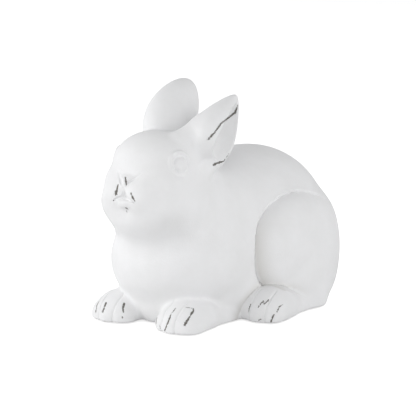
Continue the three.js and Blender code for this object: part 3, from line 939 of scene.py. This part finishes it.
# Pads under the feet and steel inside
def pad_mesh(node):
    """A round pad with soft edges, in the space of its solid."""
    low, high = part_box(node)
    middle = (low + high) / 2
    radius = (high.x - low.x) / 2
    rings = [
        (PAD_MIDDLE * radius, low.z), (radius - PAD_EDGE, low.z), (radius, low.z + PAD_EDGE),
        (radius, high.z - PAD_EDGE), (radius - PAD_EDGE, high.z), (PAD_MIDDLE * radius, high.z),
    ]
    build = bmesh.new()
    loops = []
    for ring_radius, height in rings:
        turns = [2 * math.pi * step / PAD_SIDES for step in range(PAD_SIDES)]
        offsets = [Vector((ring_radius * math.cos(turn), ring_radius * math.sin(turn), 0)) for turn in turns]
        loops.append([build.verts.new((middle.x + o.x, middle.y + o.y, height)) for o in offsets])
    for below, above in zip(loops, loops[1:]):
        for step in range(PAD_SIDES):
            following = (step + 1) % PAD_SIDES
            build.faces.new([below[step], below[following], above[following], above[step]])
    build.faces.new(loops[0][::-1])
    build.faces.new(loops[-1])
    bmesh.ops.recalc_face_normals(build, faces=build.faces)
    mesh = bpy.data.meshes.new(node)
    build.to_mesh(mesh)
    build.free()
    return mesh


def add_pads(material):
    for node in PAD_NODES:
        add_piece(node + "_disc", pad_mesh(node), node, material)


def dress_steel(material):
    for node in STEEL_NODES:
        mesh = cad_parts[node].data
        mesh.materials.clear()
        mesh.materials.append(material)


# Studio
def backdrop_share(tree):
    """1 for rays that see the backdrop straight, in a reflection or through glass, and 0 for its light."""
    path = tree.nodes.new("ShaderNodeLightPath")
    share = path.outputs["Is Camera Ray"]
    for name in ("Is Glossy Ray", "Is Transmission Ray"):
        either = tree.nodes.new("ShaderNodeMath")
        either.operation = "MAXIMUM"
        tree.links.new(share, either.inputs[0])
        tree.links.new(path.outputs[name], either.inputs[1])
        share = either.outputs["Value"]
    return share


def add_world():
    world = bpy.data.worlds.new("studio")
    bpy.context.scene.world = world
    world.use_nodes = True
    tree = world.node_tree
    light = tree.nodes["Background"]
    light.inputs["Color"].default_value = AMBIENT_COLOUR
    direction = tree.nodes.new("ShaderNodeTexCoord")
    height = tree.nodes.new("ShaderNodeSeparateXYZ")
    strength = tree.nodes.new("ShaderNodeMapRange")
    strength.inputs["To Min"].default_value = AMBIENT["horizon"]
    strength.inputs["To Max"].default_value = AMBIENT["zenith"]
    tree.links.new(direction.outputs["Generated"], height.inputs["Vector"])
    tree.links.new(height.outputs["Z"], strength.inputs["Value"])
    tree.links.new(strength.outputs["Result"], light.inputs["Strength"])
    seen = tree.nodes.new("ShaderNodeBackground")
    seen.inputs["Color"].default_value = WHITE
    seen.inputs["Strength"].default_value = 1.0
    either = tree.nodes.new("ShaderNodeMixShader")
    tree.links.new(backdrop_share(tree), either.inputs["Fac"])
    tree.links.new(light.outputs["Background"], either.inputs[1])
    tree.links.new(seen.outputs["Background"], either.inputs[2])
    tree.links.new(either.outputs["Shader"], tree.nodes["World Output"].inputs["Surface"])


def floor_material():
    """Pale card that looks nearly white and still takes a soft shadow."""
    material = bpy.data.materials.new("pale_card")
    material.use_nodes = True
    tree = material.node_tree
    card = tree.nodes["Principled BSDF"]
    card.inputs["Base Color"].default_value = FLOOR_COLOUR
    card.inputs["Roughness"].default_value = 1.0
    card.inputs["Specular IOR Level"].default_value = 0.0
    glow = tree.nodes.new("ShaderNodeEmission")
    glow.inputs["Color"].default_value = WHITE
    strength = tree.nodes.new("ShaderNodeMath")
    strength.operation = "MULTIPLY"
    strength.inputs[1].default_value = FLOOR_GLOW
    tree.links.new(backdrop_share(tree), strength.inputs[0])
    tree.links.new(strength.outputs["Value"], glow.inputs["Strength"])
    both = tree.nodes.new("ShaderNodeAddShader")
    tree.links.new(card.outputs["BSDF"], both.inputs[0])
    tree.links.new(glow.outputs["Emission"], both.inputs[1])
    tree.links.new(both.outputs["Shader"], tree.nodes["Material Output"].inputs["Surface"])
    return material


def add_floor():
    mesh = bpy.data.meshes.new("floor")
    half = FLOOR_SIZE / 2
    corners = [(-half, -half, 0), (half, -half, 0), (half, half, 0), (-half, half, 0)]
    mesh.from_pydata(corners, [], [(0, 1, 2, 3)])
    mesh.materials.append(floor_material())
    floor = bpy.data.objects.new("floor", mesh)
    bpy.context.scene.collection.objects.link(floor)


def in_frame(point):
    return Vector((point[0], point[1] - BREAST_Y, point[2])) * MM


def add_light(name, place):
    """A square soft light, turned from the camera's side round the object."""
    turn, rise = math.radians(VIEW_YAW + place["turn"]), math.radians(place["rise"])
    back = Vector((math.sin(turn) * math.cos(rise), -math.cos(turn) * math.cos(rise), math.sin(rise)))
    lamp = bpy.data.lights.new(name, "AREA")
    lamp.size = LIGHT_SIZE
    lamp.energy = place["power"]
    light = bpy.data.objects.new(name, lamp)
    light.location = in_frame(VIEW_TARGET) + back * LIGHT_DISTANCE
    light.rotation_mode = "QUATERNION"
    light.rotation_quaternion = back.to_track_quat("Z", "Y")
    bpy.context.scene.collection.objects.link(light)


def add_camera():
    right, up, back = view_axes()
    data = bpy.data.cameras.new("photograph")
    data.sensor_width = SENSOR_WIDTH
    data.lens = SENSOR_WIDTH * VIEW_DISTANCE / (PIXEL_SIZE * IMAGE_SIZE)
    data.shift_x = (IMAGE_SIZE / 2 - VIEW_MIDDLE[0]) / IMAGE_SIZE
    data.shift_y = (VIEW_MIDDLE[1] - IMAGE_SIZE / 2) / IMAGE_SIZE
    camera = bpy.data.objects.new("photograph", data)
    turn = Matrix(np.stack([right, up, back], axis=1).tolist()).to_4x4()
    eye_point = np.array(VIEW_TARGET) + VIEW_DISTANCE * back
    camera.matrix_world = Matrix.Translation(in_frame(eye_point)) @ turn
    bpy.context.scene.collection.objects.link(camera)
    bpy.context.scene.camera = camera


bpy.context.scene.view_settings.view_transform = "Standard"
add_camera()
add_world()
add_floor()
for light_name, light_place in LIGHTS.items():
    add_light(light_name, light_place)
add_castings(painted_cement())
add_pads(pad_rubber())
dress_steel(drawn_steel())
